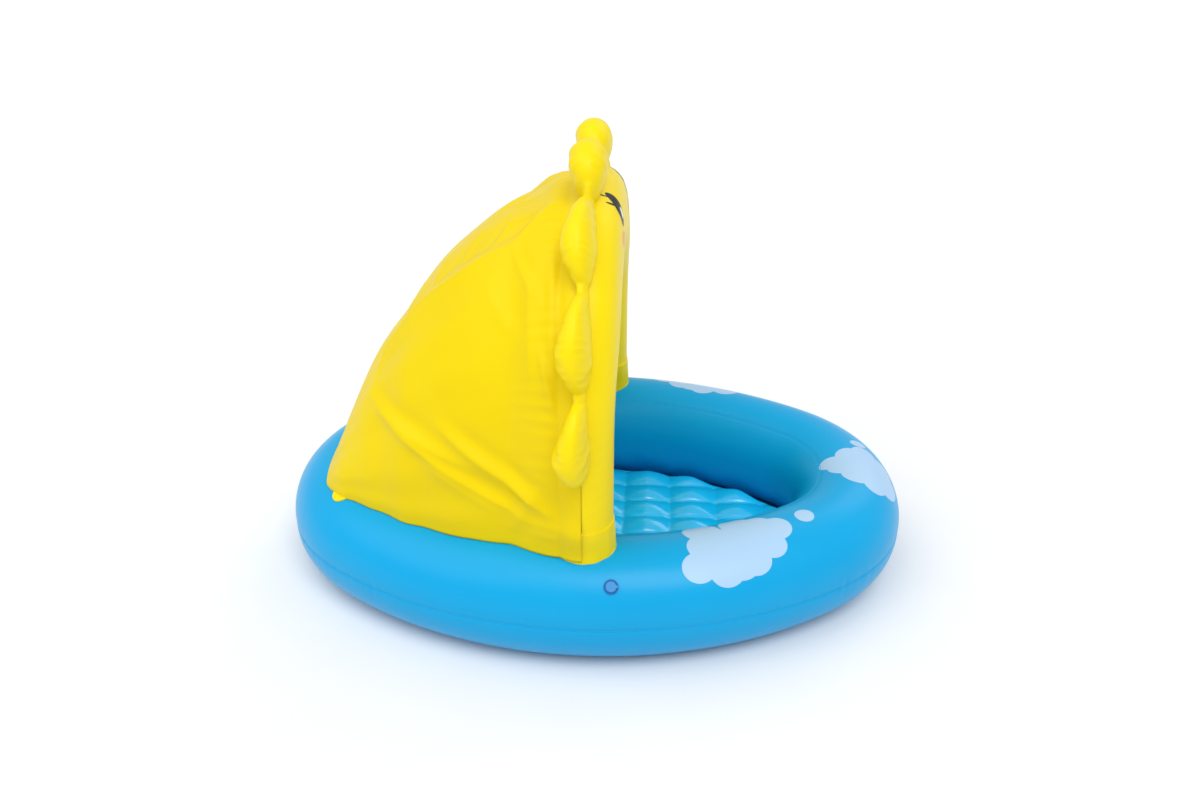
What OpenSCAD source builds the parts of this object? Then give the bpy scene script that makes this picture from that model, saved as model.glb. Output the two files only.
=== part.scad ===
// Inflatable paddling pool: an oval ring and a bubble floor, with a sun-shaped arch that holds up a
// vinyl canopy over the rear half. +X is the open front, +Z is up, and the origin is the middle of
// the underside. Sizes are millimetres, inflated.

/* [Ring] */
// Overall length of the ring, front to back
ring_length = 1051; // [951:10:1151]
// Overall width of the ring, side to side
ring_width = 731; // [680:1:800]
// Width of the inflated ring tube
tube_width = 175; // [165:1:185]
// Height of the ring tube from the ground to its crest
tube_height = 184; // [178:1:192]
// How far the tube flattens where it stands on the ground
ground_sag = 3; // [1:0.5:6]
// Wall thickness that stands for the vinyl film
skin = 2; // [1.5:0.1:2.5]
// Angle of the inner weld seam from the crest
inner_seam_angle = 35; // [20:1:60]

/* [Floor] */
// Height of the flat of the floor between its bubbles
floor_height = 36; // [34:1:42]
// Height of a bubble above the flat of the floor
bubble_rise = 12; // [8:1:14]
// Radius of a bubble where it meets the flat
bubble_radius = 25; // [20:1:26]
// Distance between bubbles, front to back
bubble_pitch_x = 84; // [76:1:92]
// Distance between bubbles, side to side
bubble_pitch_y = 52.5; // [52.5:0.5:60]

/* [Arch] */
// Radius of the arch's outer edge
arch_radius = 324; // [310:1:335]
// Height where the straight legs turn into the half-round crown
arch_spring = 354; // [330:1:370]
// Diameter of the inflated arch tube
arch_tube = 93; // [80:1:100]
// Height of the face's lower edge above the ground
chin_height = 520; // [505:1:540]
// Height that a foot cuff reaches above the ring's crest
cuff_height = 52; // [40:1:70]

/* [Rays] */
// Half of the thickness of an inflated ray
ray_half = 30; // [24:1:34]
// Half of the width of each ray along the edge, from the crown down
ray_half_width = [57.5, 76.5, 72, 75.5];
// How far each ray stands out from the edge, from the crown down
ray_reach = [78, 54, 56, 56];

/* [Canopy] */
// Distance from the arch back to the canopy's rear hem
canopy_reach = 450; // [430:1:455]
// Half of the canopy's width at its hem beside the arch
canopy_half_width = 306; // [295:1:310]
// Radius at which the canopy is welded to the back of the arch
canopy_weld_radius = 312; // [306:1:318]
// Radius of a patch that holds a rear corner of the canopy
patch_radius = 18; // [14:1:30]

/* [Valves] */
// Radius of the flange welded to the film
valve_flange = 11; // [10:0.5:13]
// Radius of the sleeve's bore
valve_bore = 5.55; // [5.55:0.05:6]
// Distance that a valve pulls out for inflating
valve_travel = 12; // [8:1:12]

/* [Hidden] */
$fn = 96;
gap = 0.3;
far = 2000;

// Four-centre oval: two end arcs and two side arcs that meet on lines with a slope of 4 in 3
meet_cos = 0.6;
meet_sin = 0.8;
wedge_reach = 1500;
oval_a = (ring_length - tube_width) / 2;
oval_b = (ring_width - tube_width) / 2;
arc_spread = (oval_a - oval_b) / (meet_sin + meet_cos - 1);
end_x = meet_cos * arc_spread;
side_y = meet_sin * arc_spread;
end_r = oval_a - end_x;
side_r = oval_b + side_y;

tube_r = tube_width / 2;
low_centre = tube_r - ground_sag;
top_centre = tube_height - tube_r;
seam_z = (low_centre + top_centre) / 2;

floor_edge = 82;
floor_round = 16;
floor_foot = 29;
floor_overlap = 0.5;
bubble_shift = 7;
bubble_columns = 4;
bubble_rows = 3;
bubble_sphere = (pow(bubble_radius, 2) + pow(bubble_rise, 2)) / (2 * bubble_rise);

arch_tube_r = arch_tube / 2;
crown_r = arch_radius - arch_tube_r;
chin_join_angle = 15;
chin_join_y = crown_r * cos(chin_join_angle);
chin_join_z = arch_spring + crown_r * sin(chin_join_angle);
chin_tube_r = arch_tube_r - 2;
face_half = arch_tube_r - 1.5;
chin_top = chin_height + chin_tube_r;
chin_sagitta = chin_top - chin_join_z;
chin_r = (pow(chin_join_y, 2) + pow(chin_sagitta, 2)) / (2 * chin_sagitta);
chin_z = chin_top - chin_r;
chin_sweep = asin(chin_join_y / chin_r);

leg_bury = 30;
cuff_wall = 2.6;
flange_lip = 8;
patch_x = -402;
patch_y = 151;

canopy_base = tube_height + 1.5;
canopy_front = arch_tube_r + gap;
canopy_peak = arch_spring + canopy_weld_radius - canopy_base;
crown_power = 1.5;
fall_power = 1.47;
section_power_front = 2.55;
section_power_rear = 2.2;
rear_fullness = 9;
hem_lift = 4;
rear_stop = 0.985;
canopy_rows = 26;
canopy_columns = 44;

ring_valve_lean = 48;
ring_valve_turn = 3.8;
floor_valve_x = -268;
arch_valve_z = 262;
valve_sleeve = valve_bore + 1.45;
valve_hole = valve_sleeve + 0.2;
valve_tube = valve_bore - 0.05;
valve_sleeve_depth = 8;
valve_collar = 1.4;
valve_depth = valve_sleeve_depth + valve_travel + valve_collar + 0.6;
flap_thickness = 0.6;
valve_hinge = 9.5;
hinge_radius = 0.7;
flange_thickness = 1.2;
collar_step = 0.9;
airway_radius = 3.6;
tube_top = 2;
lip_base = 1.4;
lip_radius = 8;
lip_thickness = 1;
tab_start = 6;
tab_length = 2.5;
tab_width = 4;
plug_base = 2.5;
plug_cap = 1.4;
plug_radius = 7.6;
plug_tip = 2.6;
plug_root = 3.3;
plug_depth = 2;
flap_radius = 4.6;
flap_hinge = 4.4;
cut_margin = 3;

// ---- Oval ring ----

// A far corner of the wedge that bounds an arc of the oval
function wedge_corner(x_side, y_side) =
    [x_side * meet_cos * wedge_reach, y_side * meet_sin * wedge_reach];

// Carries a section round the oval. The section's x is measured outwards from the tube's middle.
module round_the_oval() {
    for (side = [0, 180]) rotate([0, 0, side]) {
        intersection() {
            translate([end_x, 0, 0]) rotate_extrude() translate([end_r, 0]) children();
            translate([end_x, 0, -far / 2]) linear_extrude(far)
                polygon([[0, 0], wedge_corner(1, -1), wedge_corner(1, 1)]);
        }
        intersection() {
            translate([0, -side_y, 0]) rotate_extrude() translate([side_r, 0]) children();
            translate([0, -side_y, -far / 2]) linear_extrude(far)
                polygon([[0, 0], wedge_corner(1, 1), wedge_corner(-1, 1)]);
        }
    }
}

// The oval's outline, drawn in by a distance from the tube's middle line
module oval_outline(inset) {
    for (side = [-1, 1]) translate([side * end_x, 0]) circle(r = end_r - inset);
    intersection() {
        translate([0, -side_y]) circle(r = side_r - inset);
        translate([0, side_y]) circle(r = side_r - inset);
        square([2 * meet_cos * (side_r - inset), 2 * oval_b], center = true);
    }
}

// The tube's section: round above and below, flat where it stands
module tube_section(inset) {
    radius = tube_r - inset;
    intersection() {
        union() {
            translate([0, low_centre]) circle(r = radius);
            translate([0, top_centre]) circle(r = radius);
            translate([-radius, low_centre]) square([2 * radius, top_centre - low_centre]);
        }
        translate([-far / 2, max(inset, 0)]) square([far, far]);
    }
}

// The part of the section plane above the outer and the inner weld seam
module upper_region() {
    polygon([[0, seam_z], [far, seam_z], [far, far], [-far * sin(inner_seam_angle), far],
        [-far * sin(inner_seam_angle), top_centre + far * cos(inner_seam_angle)], [0, top_centre]]);
}

module tube_shell_section() {
    difference() {
        tube_section(0);
        tube_section(skin);
    }
}

module ring_solid(grow) {
    round_the_oval() tube_section(-grow);
}

module ring_upper_sheet() {
    color("deepskyblue") difference() {
        round_the_oval() intersection() {
            tube_shell_section();
            upper_region();
        }
        at_ring_valve() valve_cut();
    }
}

module ring_lower_sheet() {
    color("dodgerblue") round_the_oval() difference() {
        tube_shell_section();
        upper_region();
    }
}

// ---- Floor ----

// The floor's rounded edge, at a height above the ground
module floor_rim_section() {
    translate([-floor_edge - floor_round, floor_height - floor_round]) intersection() {
        difference() {
            circle(r = floor_round);
            circle(r = floor_round - skin);
        }
        square([far, far]);
    }
    translate([-floor_edge - skin, skin + gap]) square([skin, floor_height - floor_round - skin - gap]);
}

// Whether a bubble stands here: inside the rim and clear of the valve
function bubble_fits(x, y) =
    pow(x / (oval_a - floor_edge - bubble_radius), 2) + pow(y / (oval_b - floor_edge - bubble_radius), 2) < 1
    && norm([x - floor_valve_x, y]) > bubble_radius + 2 * valve_flange;

module floor_bubbles() {
    intersection() {
        for (column = [-bubble_columns:bubble_columns], row = [-bubble_rows:bubble_rows]) {
            x = column * bubble_pitch_x + bubble_shift;
            y = row * bubble_pitch_y;
            if (bubble_fits(x, y))
                translate([x, y, floor_height + bubble_rise - bubble_sphere])
                    sphere(r = bubble_sphere, $fn = 32);
        }
        translate([-far / 2, -far / 2, floor_height - skin / 2]) cube([far, far, far]);
    }
}

module floor_upper_sheet() {
    color("lightskyblue") difference() {
        union() {
            round_the_oval() floor_rim_section();
            translate([0, 0, floor_height - skin])
                linear_extrude(skin) oval_outline(floor_edge + floor_round - floor_overlap);
            floor_bubbles();
        }
        at_floor_valve() valve_cut();
    }
}

module floor_lower_sheet() {
    color("dodgerblue") linear_extrude(skin) oval_outline(floor_foot);
}

// ---- Arch ----

// Turns the XY plane into the YZ plane, with Z as the plane's upward direction
module in_arch_plane() {
    rotate([90, 0, 90]) children();
}

// The legs and the crown, drawn in by a distance
module arch_tube_solid(inset) {
    for (side = [-1, 1]) translate([0, side * crown_r, tube_height - leg_bury])
        cylinder(h = arch_spring - tube_height + leg_bury, r = arch_tube_r - inset);
    translate([0, 0, arch_spring]) in_arch_plane()
        rotate_extrude(angle = 180) translate([crown_r, 0]) circle(r = arch_tube_r - inset);
}

// The whole arch with its face, drawn in by a distance
module arch_solid(inset) {
    arch_tube_solid(inset);
    translate([0, 0, chin_z]) in_arch_plane() rotate([0, 0, 90 - chin_sweep])
        rotate_extrude(angle = 2 * chin_sweep) translate([chin_r, 0]) circle(r = chin_tube_r - inset);
    translate([inset - face_half, 0, 0]) in_arch_plane() linear_extrude(2 * (face_half - inset))
        difference() {
            translate([0, arch_spring]) circle(r = crown_r);
            translate([0, chin_z]) circle(r = chin_r);
            translate([-far / 2, chin_join_z - far]) square([far, far]);
        }
}

module arch_shell() {
    difference() {
        arch_solid(0);
        arch_solid(skin);
        ring_solid(gap);
    }
}

module arch_front_sheet() {
    color("gold") intersection() {
        arch_shell();
        translate([0, -far / 2, 0]) cube([far, far, far]);
    }
}

module arch_back_sheet() {
    color("goldenrod") difference() {
        arch_shell();
        translate([0, -far / 2, -1]) cube([far, far, far]);
        at_arch_valve() valve_cut();
    }
}

module arch_foot_cuffs() {
    color("yellow") difference() {
        for (side = [-1, 1]) translate([0, side * crown_r, 0]) {
            translate([0, 0, tube_height - leg_bury])
                cylinder(h = cuff_height + leg_bury, r = arch_tube_r + cuff_wall);
            intersection() {
                translate([0, -side * crown_r, 0]) ring_solid(gap + skin);
                translate([0, 0, tube_height / 2]) cylinder(h = far, r = arch_tube_r + flange_lip);
            }
        }
        for (side = [-1, 1]) translate([0, side * crown_r, 0])
            cylinder(h = far, r = arch_tube_r + gap);
        ring_solid(gap);
    }
}

// ---- Sun rays ----

// Distance along the arch's edge from the crown to the middle of a ray
function ray_place(index) =
    index == 0 ? ray_half_width[0] : ray_place(index - 1) + ray_half_width[index - 1] + ray_half_width[index];

// Puts a child on the arch's edge, with its Z pointing away from the arch
module on_arch_edge(distance, side) {
    quarter = arch_radius * PI / 2;
    turn = min(distance, quarter) / arch_radius * 180 / PI;
    drop = max(distance - quarter, 0);
    mirror([0, side > 0 ? 1 : 0, 0])
        translate([0, 0, arch_spring - drop]) rotate([turn, 0, 0])
            translate([0, 0, arch_radius]) children();
}

// An inflated disc: what two large spheres have in common, drawn in by a distance
module pillow(radius, inset) {
    ball = (pow(radius, 2) + pow(ray_half, 2)) / (2 * ray_half);
    for (side = [0, 180]) rotate([0, side, 0]) rotate([0, 90, 0]) rotate_extrude() intersection() {
        translate([0, ray_half - ball]) circle(r = ball - inset);
        square([far, far]);
    }
}

module sun_ray(index, side) {
    disc = (pow(ray_half_width[index], 2) + pow(ray_reach[index], 2)) / (2 * ray_reach[index]);
    difference() {
        on_arch_edge(ray_place(index), side) intersection() {
            translate([0, 0, ray_reach[index] - disc]) difference() {
                pillow(disc, 0);
                pillow(disc, skin);
            }
            translate([-far / 2, -far / 2, -arch_tube_r]) cube([far, far, far]);
        }
        arch_tube_solid(-gap);
    }
}

module sun_rays() {
    color("yellow") for (side = [-1, 1], index = [0:3]) sun_ray(index, side);
}

// ---- Canopy ----

// A point of the canopy: fall runs from 0 at the arch to 1 at the rear hem, and turn runs from 0 at
// the near hem over the top to 1 at the far hem
function canopy_point(fall, turn, inset) =
    let (
        swing = 90 * fall,
        x = -canopy_front - (canopy_reach - canopy_front) * pow(sin(swing), 2 / crown_power),
        height = (canopy_peak - inset) * pow(cos(swing), 2 / fall_power),
        width = (canopy_half_width - inset) * sqrt(1 - pow((-x - inset) / (canopy_reach + rear_fullness), 2)),
        power = section_power_front + (section_power_rear - section_power_front) * sin(swing),
        across = 180 * turn,
        side = cos(across) >= 0 ? -1 : 1
    )
    [x + (fall > 0 ? inset * sin(swing) : 0),
        side * width * pow(abs(cos(across)), 2 / power),
        canopy_base + max(height, hem_lift) * pow(sin(across), 2 / power)];

module canopy() {
    rows = canopy_rows;
    columns = canopy_columns;
    count = (rows + 1) * (columns + 1);
    points = [for (inset = [0, skin], i = [0:rows], j = [0:columns])
        canopy_point(rear_stop * i / rows, j / columns, inset)];
    function at(layer, i, j) = layer * count + i * (columns + 1) + j;
    sheets = [for (i = [0:rows - 1], j = [0:columns - 1])
        each [[at(0, i, j), at(0, i + 1, j), at(0, i + 1, j + 1)],
            [at(0, i, j), at(0, i + 1, j + 1), at(0, i, j + 1)],
            [at(1, i, j), at(1, i + 1, j + 1), at(1, i + 1, j)],
            [at(1, i, j), at(1, i, j + 1), at(1, i + 1, j + 1)]]];
    ends = [for (j = [0:columns - 1])
        each [[at(0, 0, j), at(0, 0, j + 1), at(1, 0, j + 1)],
            [at(0, 0, j), at(1, 0, j + 1), at(1, 0, j)],
            [at(0, rows, j), at(1, rows, j + 1), at(0, rows, j + 1)],
            [at(0, rows, j), at(1, rows, j), at(1, rows, j + 1)]]];
    hems = [for (i = [0:rows - 1])
        each [[at(0, i, 0), at(1, i, 0), at(1, i + 1, 0)],
            [at(0, i, 0), at(1, i + 1, 0), at(0, i + 1, 0)],
            [at(0, i, columns), at(1, i + 1, columns), at(1, i, columns)],
            [at(0, i, columns), at(0, i + 1, columns), at(1, i + 1, columns)]]];
    color("yellow") polyhedron(points, concat(sheets, ends, hems), convexity = 6);
}

module canopy_corner_patches() {
    color("gold") difference() {
        intersection() {
            ring_solid(gap + skin);
            for (side = [-1, 1]) translate([patch_x, side * patch_y, tube_height / 2])
                cylinder(h = far, r = patch_radius);
        }
        ring_solid(gap);
    }
}

// ---- Valves ----
// A valve's own Z points out of the film, and its plug's strap lies on its +X side.

module at_ring_valve() {
    translate([0, side_y, 0]) rotate([0, 0, ring_valve_turn])
        translate([0, -side_r, top_centre]) rotate([ring_valve_lean, 0, 0])
            translate([0, 0, tube_r]) children();
}

module at_floor_valve() {
    translate([floor_valve_x, 0, floor_height]) children();
}

module at_arch_valve() {
    translate([-arch_tube_r, crown_r, arch_valve_z]) rotate([0, -90, 0]) children();
}

module valve_cut() {
    translate([0, 0, -2 * skin]) cylinder(h = 5 * skin, r = valve_hole);
}

module valve_seat() {
    color("lightblue") difference() {
        union() {
            translate([0, 0, gap / 3]) cylinder(h = flange_thickness, r = valve_flange);
            translate([0, 0, -valve_sleeve_depth])
                cylinder(h = valve_sleeve_depth + gap, r = valve_sleeve);
        }
        translate([0, 0, -valve_sleeve_depth - cut_margin])
            cylinder(h = valve_sleeve_depth + 2 * cut_margin, r = valve_bore);
    }
}

module valve_tube() {
    color("aliceblue") difference() {
        union() {
            translate([0, 0, -valve_depth]) cylinder(h = valve_depth + tube_top, r = valve_tube);
            translate([0, 0, lip_base]) cylinder(h = lip_thickness, r = lip_radius);
            translate([tab_start, -tab_width / 2, lip_base]) cube([tab_length, tab_width, lip_thickness]);
            translate([0, 0, -valve_depth]) cylinder(h = valve_collar, r = valve_tube + collar_step);
        }
        translate([0, 0, -valve_depth - cut_margin])
            cylinder(h = valve_depth + 2 * cut_margin, r = airway_radius);
    }
}

module valve_plug() {
    color("white") {
        translate([0, 0, plug_base]) cylinder(h = plug_cap, r = plug_radius);
        translate([0, 0, -plug_depth])
            cylinder(h = plug_depth + plug_base + gap / 3, r1 = plug_tip, r2 = plug_root);
        translate([tab_start, -tab_width / 2, plug_base])
            cube([valve_hinge - tab_start, tab_width, plug_cap]);
        translate([valve_hinge, tab_width / 2, plug_base + hinge_radius])
            rotate([90, 0, 0]) cylinder(h = tab_width, r = hinge_radius);
    }
}

module valve_flap() {
    color("powderblue") translate([0, 0, -valve_depth - flap_thickness]) {
        translate([0, 0, -gap]) cylinder(h = flap_thickness, r = flap_radius);
        translate([flap_hinge, tab_width / 2, 0])
            rotate([90, 0, 0]) cylinder(h = tab_width, r = gap);
    }
}

module ring_valve_seat() { at_ring_valve() valve_seat(); }
module ring_valve_tube() { at_ring_valve() valve_tube(); }
module ring_valve_plug() { at_ring_valve() valve_plug(); }
module ring_valve_flap() { at_ring_valve() valve_flap(); }

module floor_valve_seat() { at_floor_valve() valve_seat(); }
module floor_valve_tube() { at_floor_valve() valve_tube(); }
module floor_valve_plug() { at_floor_valve() valve_plug(); }
module floor_valve_flap() { at_floor_valve() valve_flap(); }

module arch_valve_seat() { at_arch_valve() valve_seat(); }
module arch_valve_tube() { at_arch_valve() valve_tube(); }
module arch_valve_plug() { at_arch_valve() valve_plug(); }
module arch_valve_flap() { at_arch_valve() valve_flap(); }

ring_upper_sheet();
ring_lower_sheet();
floor_upper_sheet();
floor_lower_sheet();
arch_front_sheet();
arch_back_sheet();
arch_foot_cuffs();
sun_rays();
canopy();
canopy_corner_patches();
ring_valve_seat();
ring_valve_tube();
ring_valve_plug();
ring_valve_flap();
floor_valve_seat();
floor_valve_tube();
floor_valve_plug();
floor_valve_flap();
arch_valve_seat();
arch_valve_tube();
arch_valve_plug();
arch_valve_flap();
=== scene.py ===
import math

import bmesh
import bpy
import numpy as np
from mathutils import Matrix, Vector


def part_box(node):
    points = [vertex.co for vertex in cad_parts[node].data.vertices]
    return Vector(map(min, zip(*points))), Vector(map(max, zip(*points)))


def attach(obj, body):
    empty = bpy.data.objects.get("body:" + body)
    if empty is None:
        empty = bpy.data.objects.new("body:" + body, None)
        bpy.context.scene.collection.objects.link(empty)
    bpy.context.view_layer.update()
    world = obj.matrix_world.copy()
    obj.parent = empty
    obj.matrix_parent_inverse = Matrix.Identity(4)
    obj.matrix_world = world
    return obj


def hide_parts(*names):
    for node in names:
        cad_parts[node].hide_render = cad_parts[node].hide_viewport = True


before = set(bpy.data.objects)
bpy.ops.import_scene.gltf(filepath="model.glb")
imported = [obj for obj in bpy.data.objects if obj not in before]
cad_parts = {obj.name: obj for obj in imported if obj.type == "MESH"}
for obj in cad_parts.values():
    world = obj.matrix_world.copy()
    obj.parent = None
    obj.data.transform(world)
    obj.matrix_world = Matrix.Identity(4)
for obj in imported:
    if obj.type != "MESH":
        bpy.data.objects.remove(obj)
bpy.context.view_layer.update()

# Everything is in metres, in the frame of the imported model: +X is the open front, +Z is up.
POOL = "pool"
PI = math.pi

# ---- Driving sizes, taken from the frame ----

ring_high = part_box("ring_upper_sheet")[1]
arch_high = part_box("arch_front_sheet")[1]
cuff_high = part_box("arch_foot_cuffs")[1]

RING_TOP = ring_high[2]
TUBE_R = 0.0875
GROUND_SAG = 0.003
LOW_CENTRE = TUBE_R - GROUND_SAG
TOP_CENTRE = RING_TOP - TUBE_R
WALL = TOP_CENTRE - LOW_CENTRE
INNER_SEAM_ANGLE = 35
INNER_SEAM = -TUBE_R * math.radians(INNER_SEAM_ANGLE)
OUTER_SEAM = TUBE_R * PI / 2 + WALL / 2
SECTION = 2 * (TUBE_R * PI + WALL)

# The oval: two end arcs and two side arcs that meet on lines with a slope of 4 in 3
OVAL_A = ring_high[0] - TUBE_R
OVAL_B = ring_high[1] - TUBE_R
SPREAD = (OVAL_A - OVAL_B) / 0.4
END_X, SIDE_Y = 0.6 * SPREAD, 0.8 * SPREAD
END_R, SIDE_R = OVAL_A - END_X, OVAL_B + SIDE_Y
END_ANGLE = math.atan2(4, 3)
END_ARC = END_R * END_ANGLE
SIDE_ARC = SIDE_R * (PI - 2 * END_ANGLE)
PERIMETER = 4 * END_ARC + 2 * SIDE_ARC

ARCH_R = arch_high[1]
ARCH_TUBE_R = arch_high[0]
ARCH_SPRING = arch_high[2] - ARCH_R
LEG_Y = ARCH_R - ARCH_TUBE_R
CHIN_Z, CHIN_R = 0.520, 0.284
LEG_SLIM = 0.95
FOOT_PINCH = 0.22
FACE_BULGE = 0.0030
# How far below the top of the ring the arch's films begin
ARCH_SINK = 0.014

FLOOR_Z = 0.036
FLOOR_EDGE = 0.082
FLOOR_ROUND = 0.016
# A bubble's length, width, shift along the floor and rise
CELL_X, CELL_Y, CELL_SHIFT, CELL_RISE = 0.084, 0.0525, 0.007, 0.012
# The film's grid: its step, and how far inside the tube's middle line its box and its cells begin
FLOOR_STEP = 0.003
FLOOR_BORDER, FLOOR_KEEP = 0.054, 0.056
# The edge of the film that runs under the ring
SKIRT_Z, SKIRT_WIDTH = 0.006, 0.022

FILM = 0.0004
PRINT_LIFT = 0.00016
# Radius of the round hole in the film under each valve
VALVE_HOLE = 0.0075


# ---- Small tools ----

def smooth(low, high, value):
    """0 below low, 1 above high, and an even rise between them."""
    share = np.clip((np.asarray(value, float) - low) / (high - low), 0, 1)
    return share * share * (3 - 2 * share)


def ripple(place, waves, seed):
    """An uneven wave from -1 to 1 with about that many waves over a place that runs from 0 to 1."""
    rng = np.random.default_rng(seed)
    total = np.zeros_like(np.asarray(place, float))
    for count in rng.integers(int(0.6 * waves), int(1.5 * waves) + 2, 6):
        total += rng.uniform(0.4, 1) * np.cos(2 * PI * (count * place + rng.random()))
    return total / 2.6


def curve(points, at):
    """A smooth curve through (x, y) points in order of x, with no overshoot."""
    x, y = np.array(points, float).T
    slope = np.diff(y) / np.diff(x)
    same = slope[:-1] * slope[1:] > 0
    middle = np.zeros(len(x) - 2)
    middle[same] = 2 * slope[:-1][same] * slope[1:][same] / (slope[:-1] + slope[1:])[same]
    lean = np.r_[slope[0], middle, slope[-1]]
    at = np.clip(at, x[0], x[-1])
    i = np.clip(np.searchsorted(x, at) - 1, 0, len(x) - 2)
    width = x[i + 1] - x[i]
    t = (at - x[i]) / width
    return (y[i] * (1 + 2 * t) * (1 - t) ** 2 + width * lean[i] * t * (1 - t) ** 2
            + y[i + 1] * t * t * (3 - 2 * t) - width * lean[i + 1] * t * t * (1 - t))


def even(points, count):
    """Points at equal distances along a polyline."""
    steps = np.linalg.norm(np.diff(points, axis=0), axis=1)
    along = np.r_[0, np.cumsum(steps)]
    wanted = np.linspace(0, along[-1], count)
    return np.stack([np.interp(wanted, along, points[:, k]) for k in range(points.shape[1])], -1)


def make_mesh(name, points, faces):
    mesh = bpy.data.meshes.new(name)
    mesh.from_pydata([tuple(p) for p in points], [], [tuple(f) for f in faces])
    mesh.polygons.foreach_set("use_smooth", [True] * len(mesh.polygons))
    piece = bpy.data.objects.new(name, mesh)
    bpy.context.scene.collection.objects.link(piece)
    return piece


def grid_faces(rows, columns, keep=None):
    """Quads of a grid. keep is a mask of the cells that stay."""
    i, j = np.meshgrid(np.arange(rows - 1), np.arange(columns - 1), indexing="ij")
    below = i + 1
    quads = np.stack([i * columns + j, below * columns + j,
                      below * columns + j + 1, i * columns + j + 1], -1)
    return quads[keep] if keep is not None else quads.reshape(-1, 4)


def grid_mesh(name, points, keep=None, flip=False):
    rows, columns = points.shape[:2]
    faces = grid_faces(rows, columns, keep)
    if flip:
        faces = faces[:, ::-1]
    return make_mesh(name, points.reshape(-1, 3), faces)


def weld(piece, distance=0.00001):
    """Joins vertices that lie on each other and drops loose ones."""
    work = bmesh.new()
    work.from_mesh(piece.data)
    bmesh.ops.remove_doubles(work, verts=work.verts, dist=distance)
    bmesh.ops.delete(work, geom=[v for v in work.verts if not v.link_faces], context="VERTS")
    work.to_mesh(piece.data)
    work.free()
    return piece


def thicken(piece, thickness):
    """Gives a sheet its thickness, half on each side."""
    made = piece.modifiers.new("film", "SOLIDIFY")
    made.thickness = thickness
    made.offset = 0
    made.use_even_offset = False


def finish_piece(piece, material, slot, *nodes):
    piece.data.materials.clear()
    piece.data.materials.append(material)
    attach(piece, POOL)
    if nodes:
        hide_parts(*nodes)


# ---- Materials ----

def linear(red, green, blue):
    """A display colour as scene-linear numbers."""
    return [((c / 255 + 0.055) / 1.055) ** 2.4 if c > 10 else c / 255 / 12.92
            for c in (red, green, blue)] + [1.0]


# How far the second tone shows, and how many drifts, gloss patches and grains there are to a metre
MOTTLE = 0.5
DRIFT_SCALE, GLOSS_SCALE, GRAIN_SCALE = 7.0, 38.0, 950.0
GLOSS_SPREAD = 0.05


def material(name, colour, shade, roughness, grain=0.02, specular=0.24):
    """Soft PVC film: two close tones that drift over the surface, uneven gloss and a fine grain."""
    made = bpy.data.materials.new(name)
    made.use_nodes = True
    nodes, links = made.node_tree.nodes, made.node_tree.links
    shader = nodes["Principled BSDF"]
    place = nodes.new("ShaderNodeTexCoord")
    drift = nodes.new("ShaderNodeTexNoise")
    drift.inputs["Scale"].default_value = DRIFT_SCALE
    drift.inputs["Detail"].default_value = 4.0
    links.new(place.outputs["Object"], drift.inputs["Vector"])
    tones = nodes.new("ShaderNodeMix")
    tones.data_type = "RGBA"
    tones.inputs["A"].default_value = colour
    tones.inputs["B"].default_value = shade
    amount = nodes.new("ShaderNodeMapRange")
    amount.inputs["From Min"].default_value = 0.35
    amount.inputs["From Max"].default_value = 0.75
    amount.inputs["To Max"].default_value = MOTTLE
    links.new(drift.outputs["Fac"], amount.inputs["Value"])
    links.new(amount.outputs["Result"], tones.inputs["Factor"])
    links.new(tones.outputs["Result"], shader.inputs["Base Color"])
    gloss = nodes.new("ShaderNodeTexNoise")
    gloss.inputs["Scale"].default_value = GLOSS_SCALE
    gloss.inputs["Detail"].default_value = 3.0
    links.new(place.outputs["Object"], gloss.inputs["Vector"])
    rough = nodes.new("ShaderNodeMapRange")
    rough.inputs["To Min"].default_value = roughness - GLOSS_SPREAD
    rough.inputs["To Max"].default_value = roughness + GLOSS_SPREAD
    links.new(gloss.outputs["Fac"], rough.inputs["Value"])
    links.new(rough.outputs["Result"], shader.inputs["Roughness"])
    fine = nodes.new("ShaderNodeTexNoise")
    fine.inputs["Scale"].default_value = GRAIN_SCALE
    fine.inputs["Detail"].default_value = 2.0
    links.new(place.outputs["Object"], fine.inputs["Vector"])
    bump = nodes.new("ShaderNodeBump")
    bump.inputs["Strength"].default_value = grain
    bump.inputs["Distance"].default_value = 0.001
    links.new(fine.outputs["Fac"], bump.inputs["Height"])
    links.new(bump.outputs["Normal"], shader.inputs["Normal"])
    shader.inputs["Specular IOR Level"].default_value = specular
    return made


blue_film = material("blue_film", linear(0, 158, 214), linear(0, 152, 208), 0.33, specular=0.22)
floor_film = material("floor_film", linear(26, 196, 250), linear(12, 178, 236), 0.15, specular=0.8)
yellow_film = material("yellow_film", linear(237, 213, 0), linear(233, 206, 0), 0.38, specular=0.18)
canopy_film = material("canopy_film", linear(228, 202, 0), linear(222, 194, 0), 0.42, specular=0.13)
cloud_ink = material("cloud_ink", linear(164, 198, 229), linear(158, 193, 226), 0.40)
black_ink = material("black_ink", linear(14, 14, 16), linear(24, 23, 26), 0.38)
white_ink = material("white_ink", linear(250, 250, 250), linear(240, 242, 245), 0.38)
cheek_ink = material("cheek_ink", linear(246, 160, 110), linear(240, 148, 100), 0.42)
seat_vinyl = material("seat_vinyl", linear(26, 104, 170), linear(18, 92, 156), 0.30, specular=0.10)
clear_vinyl = material("clear_vinyl", linear(52, 138, 202), linear(36, 116, 186), 0.16, specular=0.20)


# ---- Ring ----

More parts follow.
